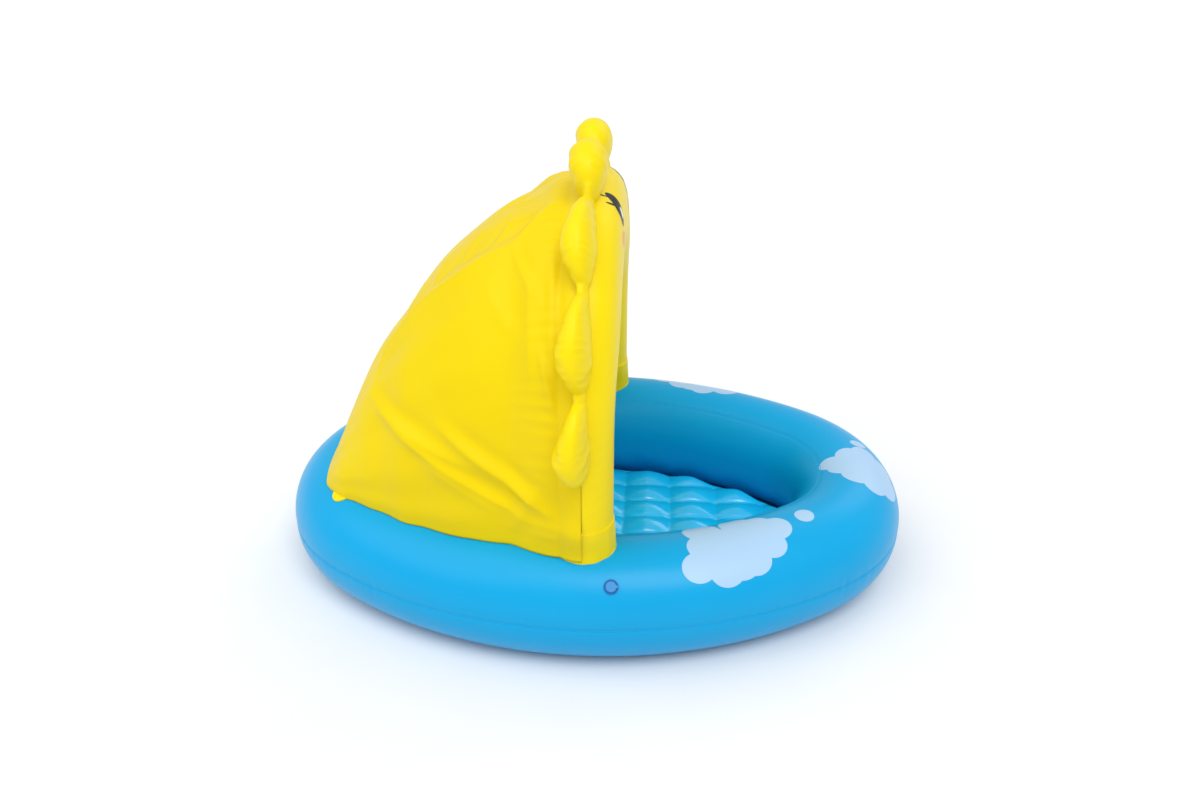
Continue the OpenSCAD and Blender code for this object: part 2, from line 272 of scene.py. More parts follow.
def oval(place):
    """Point of the tube's middle line and the outward direction, at a distance from +X anticlockwise."""
    place = np.mod(place, PERIMETER)
    half = PERIMETER / 2
    turn = np.where(place >= half, -1.0, 1.0)
    place = np.where(place >= half, place - half, place)
    first, last = place <= END_ARC, place >= half - END_ARC
    angle = np.where(first, place / END_R, np.where(
        last, PI - (half - place) / END_R, END_ANGLE + (place - END_ARC) / SIDE_R))
    radius = np.where(first | last, END_R, SIDE_R)
    centre_x = np.where(first, END_X, np.where(last, -END_X, 0.0))
    centre_y = np.where(first | last, 0.0, -SIDE_Y)
    ox, oy = np.cos(angle), np.sin(angle)
    return (centre_x + radius * ox) * turn, (centre_y + radius * oy) * turn, ox * turn, oy * turn


def depth_inside(x, y):
    """Distance from the tube's middle line, positive towards the middle of the pool."""
    x, y = np.abs(x), np.abs(y)
    at_end = y < 4 / 3 * (x - END_X)
    return np.where(at_end, END_R - np.hypot(x - END_X, y), SIDE_R - np.hypot(x, y + SIDE_Y))


def ring_height(x, y):
    """Height of the top of the ring over a point, or of the tube's middle beyond its width."""
    across = np.clip(np.abs(depth_inside(x, y)), 0, TUBE_R * 0.999)
    return TOP_CENTRE + np.sqrt(TUBE_R ** 2 - across ** 2)


def tube_section(around):
    """Offset outwards, height and normal at a distance round the section from the crest."""
    side, reach = np.sign(around), np.abs(around)
    quarter = TUBE_R * PI / 2
    upper, wall = reach < quarter, (reach >= quarter) & (reach < quarter + WALL)
    angle = np.where(upper, reach / TUBE_R, np.where(wall, PI / 2, (reach - WALL) / TUBE_R))
    out = side * TUBE_R * np.sin(angle)
    height = np.where(upper, TOP_CENTRE + TUBE_R * np.cos(angle), np.where(
        wall, TOP_CENTRE - (reach - quarter), LOW_CENTRE + TUBE_R * np.cos(angle)))
    return out, height, side * np.sin(angle), np.cos(angle)


def near_node(name, x, y, z, clear):
    """1 away from a valve, falling to 0 around it."""
    low, high = (np.array(corner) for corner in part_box(name))
    middle = (low + high) / 2
    return smooth(clear, 2.5 * clear, np.sqrt(
        (x - middle[0]) ** 2 + (y - middle[1]) ** 2 + (z - middle[2]) ** 2))


def ring_relief(place, around):
    """How far the film stands in or out: the two weld seams, their puckers and a slow unevenness."""
    share = np.mod(place, PERIMETER) / PERIMETER
    total = 0.0005 * ripple(share, 9, 4) * np.cos(around / TUBE_R * 2)
    for seam, seed, depth in ((OUTER_SEAM, 1, 1.0), (INNER_SEAM, 2, 0.45)):
        for lap in (-SECTION, 0, SECTION):
            off = around - seam - lap
            beside = np.exp(-np.abs(off) / 0.011)
            swell = 0.35 + 0.65 * smooth(-0.2, 0.6, ripple(share, 12, seed + 20))
            groove = 0.0014 * np.exp(-(off / 0.0026) ** 2) - 0.0012 * np.exp(-(off / 0.0008) ** 2)
            total = total + depth * (0.0007 * beside * swell * ripple(share, 150, seed) - groove)
    return total


def ring_surface(place, around, lift=0.0):
    x, y, ox, oy = oval(place)
    out, height, side, up = tube_section(around)
    seat = near_node("ring_valve_seat", x + ox * out, y + oy * out, height, 0.012)
    push = ring_relief(place, around) * seat + lift
    out = out + side * push
    height = np.maximum(height + up * push, 0.0)
    return np.stack([x + ox * out, y + oy * out, height], -1)


def seam_rows(start, end, seams, step=0.0045, fine=0.0007, spread=0.0063):
    """Places round the section from start to end, close together beside a seam."""
    rows = list(np.linspace(start, end, int((end - start) / step)))
    for seam in seams:
        rows = [r for r in rows if abs(r - seam) > spread]
        rows += [r for r in np.arange(seam - spread, seam + spread + fine / 2, fine)]
    return np.array(sorted({round(r, 6) for r in rows if start - 1e-6 <= r <= end + 1e-6}
                           | {round(start, 6), round(end, 6)}))


def hole_at(name, points, radius):
    """Cells of a grid that stay when a round hole for a valve is cut through the film."""
    low, high = (np.array(corner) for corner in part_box(name))
    centres = (points[:-1, :-1] + points[1:, 1:] + points[:-1, 1:] + points[1:, :-1]) / 4
    return np.linalg.norm(centres - (low + high) / 2, axis=-1) > radius


def build_ring():
    columns = 660
    along = np.linspace(0, PERIMETER, columns + 1)
    spans = {"ring_upper_film": (INNER_SEAM, OUTER_SEAM, "ring_upper_sheet"),
             "ring_lower_film": (OUTER_SEAM, INNER_SEAM + SECTION, "ring_lower_sheet")}
    for name, (start, end, node) in spans.items():
        rows = seam_rows(start, end, (start, end))
        place, around = np.meshgrid(along, rows, indexing="ij")
        wrapped = np.where(around > SECTION / 2, around - SECTION, around)
        points = ring_surface(place, wrapped)
        points[-1] = points[0]
        piece = grid_mesh(name, points, keep=hole_at("ring_valve_seat", points, VALVE_HOLE), flip=True)
        weld(piece)
        finish_piece(piece, blue_film, "blue_vinyl", node)


# Printed clouds. A lobe is (distance along the oval, distance outwards from the crest, radius).
CLOUD_LOBES = [(-0.062, 0.034, 0.0245), (-0.024, 0.045, 0.0255), (0.020, 0.038, 0.0240),
               (0.054, 0.020, 0.0225), (0.076, -0.009, 0.0250), (0.052, -0.027, 0.0250),
               (0.022, -0.044, 0.0270), (-0.038, -0.041, 0.0300), (0.004, 0.002, 0.0400),
               (-0.045, 0.000, 0.0270), (-0.001, 0.037, 0.0275)]
TALL_CLOUD_LOBES = [(0.012, -0.053, 0.0220), (0.030, -0.018, 0.0250), (0.038, 0.010, 0.0240),
                    (0.012, 0.036, 0.0270), (-0.016, 0.050, 0.0250), (-0.032, 0.024, 0.0240),
                    (-0.027, -0.010, 0.0260), (-0.008, -0.036, 0.0240), (0.000, 0.002, 0.0300)]
DOT = [(0.0, 0.0, 0.0155)]


def lobed_edge(lobes, angles):
    """Distance from the middle to the edge of a group of overlapping circles, in each direction."""
    edge = np.zeros_like(angles)
    for along, across, radius in lobes:
        ahead = along * np.cos(angles) + across * np.sin(angles)
        under = radius ** 2 - along ** 2 - across ** 2 + ahead ** 2
        edge = np.maximum(edge, np.where(under > 0, ahead + np.sqrt(np.maximum(under, 0)), 0))
    return edge


def disc_mesh(name, edge, angles, surface, rings=22):
    """A sheet on a surface: edge is its reach in each direction, surface maps flat to solid."""
    share = np.linspace(0.02, 1, rings)[:, None]
    flat_x = share * (edge * np.cos(angles))[None]
    flat_y = share * (edge * np.sin(angles))[None]
    points = surface(flat_x, flat_y)
    count = len(angles)
    middle = surface(np.array([0.0]), np.array([0.0]))
    faces = [(i * count + j, (i + 1) * count + j, (i + 1) * count + (j + 1) % count,
              i * count + (j + 1) % count) for i in range(rings - 1) for j in range(count)]
    faces += [(rings * count, j, (j + 1) % count) for j in range(count)]
    return make_mesh(name, np.concatenate([points.reshape(-1, 3), middle.reshape(-1, 3)]), faces)


def build_clouds():
    places = [("near", 1.9290, 0.0190, CLOUD_LOBES, 1, 1), ("near_dot", 2.0630, 0.0050, DOT, 1, 1),
              ("end", 2.2560, 0.0190, TALL_CLOUD_LOBES, 1, 1), ("end_dot", 0.0560, 0.0330, DOT, 0.7, 1),
              ("far", 0.4000, 0.0595, CLOUD_LOBES, 1, -1), ("far_dot", 0.5450, 0.0500, DOT, 1, 1),
              ("rear", 0.9000, 0.0380, TALL_CLOUD_LOBES, -1, 1), ("rear_dot", 0.8050, 0.0200, DOT, 1, 1)]
    angles = np.linspace(0, 2 * PI, 320, endpoint=False)
    for name, place, around, lobes, stretch, rise in places:
        edge = lobed_edge(lobes, angles)
        piece = disc_mesh(f"cloud_print_{name}", edge, angles, lambda u, v: ring_surface(
            place + stretch * u, around + rise * v, PRINT_LIFT))
        finish_piece(piece, cloud_ink, "blue_vinyl")


# ---- Floor ----

def floor_height(x, y):
    """The tufted bubble floor, with its rounded edge and the skirt that runs under the ring."""
    fold_x = np.abs(np.mod((x - CELL_SHIFT) / CELL_X, 1) - 0.5) * -2 + 1
    fold_y = np.abs(np.mod(y / CELL_Y, 1) - 0.5) * -2 + 1
    ridge_x = np.clip(1 - fold_x ** 1.35, 0, 1) ** 0.85
    ridge_y = np.clip(1 - fold_y ** 1.9, 0, 1) ** 0.66
    dome = ridge_x * ridge_y
    tuft = np.exp(-((1 - fold_x) * CELL_X / 0.014) ** 2 - ((1 - fold_y) * CELL_Y / 0.014) ** 2)
    edge = depth_inside(x, y) - FLOOR_EDGE
    calm = near_node("floor_valve_seat", x, y, FLOOR_Z, 0.014)
    swell = (CELL_RISE * dome - 0.003 * tuft) * calm + 0.001 * (1 - calm)
    round_off = FLOOR_ROUND - np.sqrt(np.clip(
        FLOOR_ROUND ** 2 - np.clip(FLOOR_ROUND - edge, 0, FLOOR_ROUND) ** 2, 0, None))
    inside = FLOOR_Z + swell * smooth(0, 0.014, edge) - 0.5 * round_off
    skirt = SKIRT_Z + (FLOOR_Z - 0.5 * FLOOR_ROUND - SKIRT_Z) * smooth(-SKIRT_WIDTH, 0, edge)
    return np.where(edge > 0, inside, skirt)


def build_floor():
    half_x, half_y = OVAL_A - FLOOR_BORDER, OVAL_B - FLOOR_BORDER
    x, y = np.meshgrid(np.arange(-half_x, half_x, FLOOR_STEP),
                       np.arange(-half_y, half_y, FLOOR_STEP), indexing="ij")
    points = np.stack([x, y, floor_height(x, y)], -1)
    centre_x, centre_y = x[:-1, :-1] + FLOOR_STEP / 2, y[:-1, :-1] + FLOOR_STEP / 2
    covered = depth_inside(centre_x, centre_y) > FLOOR_KEEP
    keep = covered & hole_at("floor_valve_seat", points, VALVE_HOLE)
    piece = weld(grid_mesh("floor_bubble_film", points, keep=keep))
    finish_piece(piece, floor_film, "floor_vinyl", "floor_upper_sheet")


# ---- Arch ----

def arch_outlines(count_leg, count_crown):
    """Matching points of the arch's outer and inner weld, from the near foot over to the far foot."""
    foot = RING_TOP - ARCH_SINK
    inner_y = ARCH_R - 2 * ARCH_TUBE_R
    chin_centre = CHIN_Z - CHIN_R
    corner = chin_centre + math.sqrt(CHIN_R ** 2 - inner_y ** 2)
    turn = np.linspace(0, PI, count_crown)
    first = math.acos(inner_y / CHIN_R)
    swing = first + (PI - 2 * first) * np.linspace(0, 1, count_crown)
    outer_leg = np.linspace(foot, ARCH_SPRING, count_leg)[:-1]
    inner_leg = np.linspace(foot, corner, count_leg)[:-1]
    outer = np.concatenate([
        np.stack([-ARCH_R + 0 * outer_leg, outer_leg], -1),
        np.stack([-ARCH_R * np.cos(turn), ARCH_SPRING + ARCH_R * np.sin(turn)], -1),
        np.stack([ARCH_R + 0 * outer_leg, outer_leg[::-1]], -1)])
    inner = np.concatenate([
        np.stack([-inner_y + 0 * inner_leg, inner_leg], -1),
        np.stack([-CHIN_R * np.cos(swing), chin_centre + CHIN_R * np.sin(swing)], -1),
        np.stack([inner_y + 0 * inner_leg, inner_leg[::-1]], -1)])
    for _ in range(10):
        inner[1:-1] = (inner[:-2] + 2 * inner[1:-1] + inner[2:]) / 4
    return outer, inner


ARCH_OUTER, ARCH_INNER = arch_outlines(70, 260)


def line_distance(y, z, line):
    """Shortest distance from points to a polyline given by close points."""
    flat = np.stack([np.ravel(y), np.ravel(z)], -1)
    best = np.full(len(flat), np.inf)
    for first in range(0, len(line), 40):
        part = line[first:first + 40]
        best = np.minimum(best, np.sqrt(((flat[:, None] - part[None]) ** 2).sum(-1)).min(1))
    return best.reshape(np.shape(y))


def arch_half(y, z):
    """Half of the arch's thickness over a point of its own plane."""
    above = np.maximum(z - ARCH_SPRING, 0)
    outer = ARCH_R - np.hypot(y, above)
    inner = line_distance(y, z, ARCH_INNER)
    near = np.clip(np.minimum(outer, inner), 0, None)
    reach = np.minimum(near, ARCH_TUBE_R)
    half = np.sqrt(np.clip(ARCH_TUBE_R ** 2 - (ARCH_TUBE_R - reach) ** 2, 0, None))
    head = smooth(0.35, 0.52, z)
    half = half * (LEG_SLIM + (1 - LEG_SLIM) * head)
    half = half + FACE_BULGE * smooth(0, 0.032, near - 0.72 * ARCH_TUBE_R) * head
    around = np.arctan2(z - 0.4, y + 1e-9) / PI
    pucker = 0.0009 * ripple(around, 46, 31) * np.exp(-near / 0.010) * smooth(0.0, 0.003, near)
    return np.maximum(half + pucker, 0.0)


def build_arch():
    across = (1 - np.cos(PI * np.linspace(0, 1, 57))) / 2
    share = across[None, :, None]
    plane = ARCH_OUTER[:, None] * (1 - share) + ARCH_INNER[:, None] * share
    y, z = plane[..., 0], plane[..., 1]
    half = arch_half(y, z)
    half[:, 0] = half[:, -1] = FILM
    foot = RING_TOP - ARCH_SINK
    for name, side, node in (("arch_front_film", 1, "arch_front_sheet"),
                             ("arch_back_film", -1, "arch_back_sheet")):
        x = side * half
        bottom = ring_height(x, y) + 0.0004
        settle = 1 - smooth(0, 0.060, z - foot)
        height = z + settle * (bottom - foot)
        points = np.stack([x, pinch(y, height), height], -1)
        keep = hole_at("arch_valve_seat", points, VALVE_HOLE)
        piece = weld(grid_mesh(name, points, keep=keep, flip=side < 0))
        finish_piece(piece, yellow_film, "yellow_vinyl", node)


def pinch(y, z):
    """The legs narrow a little from side to side where they are welded to the ring."""
    middle = np.sign(y) * LEG_Y
    return middle + (y - middle) * (1 - FOOT_PINCH * (1 - smooth(0.0, 0.055, z - RING_TOP)))


def build_welds():
    """The thin flange along the arch's inner weld line."""
    tangent = np.gradient(ARCH_INNER, axis=0)
    tangent /= np.linalg.norm(tangent, axis=1)[:, None]
    out = np.stack([-tangent[:, 1], tangent[:, 0]], -1) * -1
    wave = 0.0004 * ripple(np.linspace(0, 1, len(ARCH_INNER)), 60, 41)
    rows = []
    for reach, half in ((-0.0008, 0.0006), (0.0026, 0.0004), (0.0026, -0.0004), (-0.0008, -0.0006)):
        spot = ARCH_INNER + out * reach
        rows.append(np.stack([wave * (reach > 0) + half, pinch(spot[:, 0], spot[:, 1]), spot[:, 1]], -1))
    rows.append(rows[0])
    flange = weld(grid_mesh("arch_inner_weld", np.stack(rows, 1)))
    finish_piece(flange, yellow_film, "yellow_vinyl")


def build_cuffs():
    turn = np.linspace(0, 2 * PI, 97)
    top = cuff_high[2]
    rows = [(-0.0012, top - 0.0004), (-0.0004, top), (0.0002, top - 0.0004), (0.0005, top - 0.0016)]
    for share in np.linspace(0.04, 1, 16):
        rows.append((0.0005 + 0.0023 * share ** 0.8, top - share * 0.040))
    flare = [(0.0030, 0.0070), (0.0030, 0.0046), (0.0031, 0.0028), (0.0034, 0.0018), (0.0038, 0.0014),
             (0.0040, 0.0010), (0.0038, 0.0003), (0.0020, 0.0002)]
    rings = []
    for side in (-1, 1):
        points = np.zeros((len(rows) + len(flare), len(turn), 3))
        dent = 0.0006 * ripple(turn / (2 * PI), 9, 51 + side)
        for k in range(len(rows) + len(flare)):
            settled = k >= len(rows)
            grow, level = flare[k - len(rows)] if settled else rows[k]
            grow = grow + dent * (0 < k < len(rows) + 4) * min(k, 10) / 10
            x = (ARCH_TUBE_R * LEG_SLIM + 0.0008 + grow) * np.cos(turn)
            y = side * LEG_Y + (ARCH_TUBE_R + 0.0004 + grow) * np.sin(turn)
            z = ring_height(x, y) + level if settled else np.full_like(x, level)
            points[k] = np.stack([x, y, z], -1)
        for k in range(4, len(rows)):
            share = (k - 4) / (len(rows) - 4)
            target = points[len(rows), :, 2] + 0.004
            start = top - 0.0012
            points[k, :, 2] = start + (target - start) * share
        points[..., 1] = pinch(points[..., 1], points[..., 2])
        points[:, -1] = points[:, 0]
        rings.append(weld(grid_mesh("foot_cuff_near" if side < 0 else "foot_cuff_far", points,
                                    flip=True)))
    finish_piece(rings[0], yellow_film, "yellow_vinyl", "arch_foot_cuffs")
    finish_piece(rings[1], yellow_film, "yellow_vinyl")


# ---- Sun rays ----

# Half-width along the arch's edge, reach from it, half-thickness forwards and backwards, and the
# share of the reach where a ray is thickest, from the crown down each side
RAYS = [(0.0575, 0.071, 0.0260, 0.0300, 0.68), (0.0765, 0.055, 0.0190, 0.0310, 0.48),
        (0.0720, 0.056, 0.0180, 0.0320, 0.45), (0.0665, 0.056, 0.0170, 0.0340, 0.45)]
RAY_END = sum(2 * half for half, *_ in RAYS)
NECK_REACH, NECK_HALF = 0.018, 0.0085
# Where a side ray is thickest along its width, and the share of the width that is not neck
RAY_BELLY = 0.25
RAY_SPAN = 0.90
# How far the rays lean backwards, and how far the crown's two stand aside from its middle
RAY_LEAN, CROWN_LEAN = 0.011, 0.005
CROWN_GAP = 0.006
RAY_STATIONS = 560


def edge_place(distance, out, x):
    """A point off the arch's outer weld: distance runs from the crown, positive on the far side."""
    side, distance = np.sign(distance), np.abs(distance)
    quarter = ARCH_R * PI / 2
    turn = np.minimum(distance, quarter) / ARCH_R
    drop = np.maximum(distance - quarter, 0)
    y = side * (ARCH_R + out) * np.sin(turn)
    z = ARCH_SPRING + (ARCH_R + out) * np.cos(turn) - drop
    return np.stack([x + 0 * y, y, z], -1)


def ray_profile(distance):
    """Reach, half-thickness forwards and backwards, and lean at a distance from the crown."""
    reach, front, back, lean, peak = (np.zeros_like(distance) for _ in range(5))
    start = 0.0
    down = np.abs(distance)
    for half, out, fore, aft, thickest in RAYS:
        inside = (down >= start) & (down <= start + 2 * half)
        shift = CROWN_GAP if start == 0 else 0.0
        u = np.clip((down - start - half - shift) / (half - shift), -1, 1)
        disc = (half ** 2 + out ** 2) / (2 * out)
        u = np.clip(u / RAY_SPAN, -1, 1)
        arc = (np.sqrt(disc ** 2 - (u * half) ** 2) - (disc - out)) / out
        belly = RAY_BELLY if start > 0 else 0.0
        from_belly = np.where(u < belly, (belly - u) / (1 + belly), (u - belly) / (1 - belly))
        taper = np.where(u < belly, 1.25, 1.75) if start > 0 else 2.3
        swell = np.clip(1 - from_belly ** taper, 0, 1) ** (1.0 if start > 0 else 0.8)
        reach = np.where(inside, NECK_REACH + (out - NECK_REACH) * arc, reach)
        front = np.where(inside, NECK_HALF + (fore - NECK_HALF) * swell, front)
        back = np.where(inside, NECK_HALF + (aft - NECK_HALF) * swell, back)
        lean = np.where(inside, (RAY_LEAN if start > 0 else CROWN_LEAN) * (0.4 + 0.6 * swell), lean)
        peak = np.where(inside, thickest, peak)
        start += 2 * half
    fade = 1 - smooth(RAY_END - 0.018, RAY_END, down)
    return reach * fade, front * fade, back * fade, lean, np.maximum(peak, RAYS[-1][-1])


def build_rays():
    along = np.linspace(-RAY_END, RAY_END, RAY_STATIONS)
    reach, front, back, lean, peak = ray_profile(along)
    base = -0.30
    steps = np.linspace(0, 1, 26)
    level = base + (1 - base) * np.sin(steps * PI / 2) ** 1.15
    share = (level - base) / (1 - base)
    peak = peak[:, None]
    bulge = np.where(share < peak, np.sin(PI / 2 * np.minimum(share / peak, 1)) ** 0.8,
                     np.sqrt(np.clip(1 - ((share - peak) / (1 - peak)) ** 2, 0, 1)))
    bulge[:, 0] = bulge[:, -1] = 0
    loops = []
    tick = ripple((along + RAY_END) / (2 * RAY_END), 95, 61)
    for side in (1, -1):
        half = (front if side > 0 else back)[:, None]
        out = reach[:, None] * level[None]
        wrinkle = 0.0022 * tick[:, None] * np.exp(-(1 - share[None]) / 0.13)
        fold = 0.0010 * ripple((along[:, None] + out * 0.6) * 9, 3, 70 + side)
        thick = half * bulge + (wrinkle + fold) * bulge
        x = -lean[:, None] * np.clip(level, 0, 1)[None] + side * thick
        loops.append(edge_place(along[:, None] + 0 * out, out, x))
    points = np.concatenate([loops[0], loops[1][:, -2::-1]], 1)
    piece = weld(grid_mesh("sun_ray_chambers", points, flip=True), 0.00002)
    finish_piece(piece, yellow_film, "yellow_vinyl", "sun_rays")


# ---- Canopy ----

# The crown's height behind the arch, as (distance back, height)
CROWN = [(0.0, 0.6800), (0.03, 0.6650), (0.08, 0.6400), (0.12, 0.6250), (0.16, 0.6035), (0.20, 0.5730),
         (0.24, 0.5370), (0.28, 0.4920), (0.32, 0.4410), (0.355, 0.3890), (0.385, 0.3230),
         (0.41, 0.2680), (0.432, 0.2160), (0.450, 0.1850)]
# The hem's distance from the middle, as (distance back, distance aside)
HEM = [(0.0, 0.3180), (0.035, 0.2985), (0.08, 0.2890), (0.13, 0.2810), (0.18, 0.2710), (0.22, 0.2570),
       (0.26, 0.2410), (0.30, 0.2230), (0.34, 0.2000), (0.38, 0.1730), (0.41, 0.1520), (0.437, 0.1270),
       (0.445, 0.0800), (0.449, 0.0300), (0.450, 0.0020)]
CANOPY_BACK = 0.450
# Where the top band turns into the side panels, as (distance back, share of the hem's distance aside)
SHOULDER = [(0.03, 0.20), (0.07, 0.34), (0.12, 0.47), (0.20, 0.46), (0.27, 0.42), (0.32, 0.45),
            (0.36, 0.62)]
HEM_WAVE = 0.0032
# Folds of a side: start and end as (distance back, height), width and height of the ridge
FOLDS = [((0.350, 0.356), (0.165, 0.303), 0.012, 0.0068), ((0.225, 0.362), (0.026, 0.244), 0.011, 0.0080),
         ((0.312, 0.343), (0.078, 0.234), 0.010, 0.0056), ((0.250, 0.300), (0.120, 0.235), 0.012, 0.0028),
         ((0.047, 0.620), (0.036, 0.425), 0.007, 0.0052), ((0.079, 0.592), (0.073, 0.450), 0.009, 0.0034),
         ((0.062, 0.505), (0.030, 0.400), 0.006, 0.0054), ((0.110, 0.600), (0.062, 0.552), 0.007, 0.0034),
         ((0.150, 0.560), (0.100, 0.500), 0.012, 0.0026), ((0.060, 0.300), (0.110, 0.205), 0.010, 0.0026)]
# Wrinkles of the top band, with places as (distance back, distance aside)
TOP_FOLDS = [((0.135, -0.062), (0.066, -0.088), 0.0045, 0.0034),
             ((0.150, -0.118), (0.120, -0.050), 0.0060, 0.0030),
             ((0.205, -0.094), (0.165, -0.020), 0.0070, 0.0036),
             ((0.250, -0.080), (0.226, 0.010), 0.0080, 0.0030),
             ((0.300, -0.070), (0.275, 0.030), 0.0080, 0.0026),
             ((0.110, 0.070), (0.170, 0.040), 0.0060, 0.0028),
             ((0.085, -0.010), (0.130, 0.030), 0.0060, 0.0024)]
CANOPY_COLUMNS = 361


def arch_section(radius, count=400):
    """The arch's outline at a radius, from the near hem over the top to the far hem."""
    leg = np.linspace(RING_TOP - 0.004, ARCH_SPRING, 60)[:-1]
    turn = np.linspace(0, PI, 240)
    line = np.concatenate([np.stack([-radius + 0 * leg, leg], -1),
                           np.stack([-radius * np.cos(turn), ARCH_SPRING + radius * np.sin(turn)], -1),
                           np.stack([radius + 0 * leg, leg[::-1]], -1)])
    over_cuff = 0.0052 * (1 - smooth(cuff_high[2] - 0.012, cuff_high[2] + 0.030, line[:, 1]))
    line[:, 0] = pinch(line[:, 0] + np.sign(line[:, 0]) * over_cuff, line[:, 1])
    return even(line, count)


def tent_section(back, count=400):
    """The canopy's cross-section at a distance behind the arch."""
    top = float(curve(CROWN, back))
    aside = float(curve(HEM, back) + HEM_WAVE * ripple(back / CANOPY_BACK, 6, 90) * smooth(0.05, 0.10, back))
    base = float(ring_height(-back, aside)) + 0.0012
    power = 2.55 - 0.35 * smooth(0.05, 0.35, back)
    angle = np.linspace(0, PI, 500)
    y = -np.sign(np.cos(angle)) * aside * np.abs(np.cos(angle)) ** (2 / power)
    z = base + max(top - base, 0.0004) * np.sin(angle) ** (2 / power)
    return even(np.stack([y, z], -1), count)


def fold_relief(back, z, folds, seed=0):
    """Ridges of the hung film. A seed moves and weakens them a little."""
    total = np.zeros_like(back)
    rng = np.random.default_rng(seed)
    for start, end, width, ridge in folds:
        start, end = np.array(start), np.array(end)
        if seed:
            start, end = start + rng.normal(0, 0.012, 2), end + rng.normal(0, 0.012, 2)
            ridge = ridge * rng.uniform(0.6, 1.1)
        along = end - start
        share = ((back - start[0]) * along[0] + (z - start[1]) * along[1]) / (along @ along)
        off = ((back - start[0]) * along[1] - (z - start[1]) * along[0]) / np.linalg.norm(along)
        ends = smooth(-0.05, 0.25, share) * (1 - smooth(0.7, 1.08, share))
        total = total + ridge * ends * np.exp(-np.abs(off / width) ** 1.4)
        total = total - 0.45 * ridge * ends * np.exp(-((off - 1.7 * width) / (1.3 * width)) ** 2)
    return total


def build_canopy():
    backs = np.unique(np.round(np.concatenate([
        np.linspace(0, 0.034, 10), np.linspace(0.034, 0.40, 118), np.linspace(0.40, 0.437, 18),
        np.linspace(0.437, CANOPY_BACK, 12)]), 5))
    sections = []
    for back in backs:
        shape = tent_section(back, CANOPY_COLUMNS)
        if back < 0.13:
            hug = math.sqrt(max(ARCH_TUBE_R ** 2 - min(back, 0.0335) ** 2, 0)) + LEG_Y + 0.0010
            mix = float(smooth(0.030, 0.115, back))
            shape = arch_section(hug, CANOPY_COLUMNS) * (1 - mix) + shape * mix
        sections.append(shape)
    plane = np.array(sections)
    y, z = plane[..., 0], plane[..., 1]
    back = np.repeat(backs[:, None], CANOPY_COLUMNS, 1)
    points = np.stack([-back, y, z], -1)
    out = np.cross(np.gradient(points, axis=0), np.gradient(points, axis=1))
    out /= np.maximum(np.linalg.norm(out, axis=-1), 1e-9)[..., None]
    out *= np.sign((out * (points - np.array([-0.15, 0, 0.25]))).sum(-1))[..., None]
    hem_off = z - (ring_height(-back, y) + 0.001)
    free = smooth(0.028, 0.050, back) * smooth(0.0, 0.035, hem_off)
    near = (1 - smooth(-0.08, 0.02, y))
    relief = near * fold_relief(back, z, FOLDS) + (1 - near) * fold_relief(back, z, FOLDS, 7)
    band = (np.abs(y) - curve(SHOULDER, back) * curve(HEM, back)) / 0.016
    shoulder = smooth(0.035, 0.09, back) * (1 - smooth(0.31, 0.37, back))
    relief = relief + shoulder * (0.0058 * np.exp(-np.abs(band)) - 0.0062 * (1 - smooth(-2.2, 0.1, band)))
    relief = relief + (1 - smooth(-1.6, 0.4, band)) * fold_relief(back, y, TOP_FOLDS)
    turn = np.linspace(0, 1, CANOPY_COLUMNS)[None] + 0 * back
    relief = relief + 0.0016 * ripple(turn + 0.12 * back, 9, 81) * smooth(0.05, 0.2, back)
    relief = relief + 0.0010 * ripple(turn, 44, 82) * np.exp(-np.abs(back - 0.045) / 0.030)
    relief = relief - 0.006 * smooth(0.25, 0.37, back) * (1 - smooth(0.37, 0.44, back)) * smooth(
        0.30, 0.42, z)
    points = points + out * (relief * free)[..., None]
    floor_line = ring_height(points[..., 0], points[..., 1]) + 0.0008
    reach = np.abs(depth_inside(points[..., 0], points[..., 1])) < TUBE_R
    points[..., 2] = np.where(reach, np.maximum(points[..., 2], floor_line), points[..., 2])
    piece = weld(grid_mesh("canopy_film", points), 0.00002)
    thicken(piece, FILM)
    finish_piece(piece, canopy_film, "canopy_vinyl", "canopy")
    piece.data.update()


# ---- Face ----

def face_surface(centre_y, centre_z, tilt=0.0, lift=0.00025):
    """Maps a flat print onto the front of the arch, round a middle point."""
    def place(u, v):
        y = centre_y + u * math.cos(tilt) - v * math.sin(tilt)
        z = centre_z + u * math.sin(tilt) + v * math.cos(tilt)
        return np.stack([arch_half(y, z) + lift, y, z], -1)
    return place


def egg(width, height, sharp, angles):
    """Reach of an almond whose lower end is sharper."""
    x, y = np.cos(angles) / width, np.sin(angles) / height
    even_oval = 1 / np.sqrt(x * x + y * y)
    return even_oval * (1 - sharp * np.clip(-np.sin(angles), 0, 1) ** 2 * np.cos(angles) ** 2)


def stroke_mesh(name, line, width, surface, count=40):
    """A printed line of a given width with tapered ends."""
    path = even(np.array(line, float), count)
    tangent = np.gradient(path, axis=0)
    tangent /= np.linalg.norm(tangent, axis=1)[:, None]
    side = np.stack([-tangent[:, 1], tangent[:, 0]], -1)
    half = width / 2 * np.clip(np.sin(PI * np.linspace(0.02, 0.98, count)), 0, 1) ** 0.4
    rows = [path + side * (half * share)[:, None] for share in np.linspace(-1, 1, 7)]
    flat = np.stack(rows, 1)
    return grid_mesh(name, surface(flat[..., 0], flat[..., 1]))


# Middles on the face as (distance aside, height), and how far the eyes tilt
EYE, SHINE, CHEEK = (0.076, 0.642), (0.0725, 0.636), (0.0935, 0.602)
EYE_TILT = 0.30
SMILE_Z, SMILE_HALF, SMILE_RISE = 0.566, 0.034, 0.010
LASHES = (((0.008, 0.018), (0.020, 0.027)), ((0.0105, 0.006), (0.022, 0.010)))


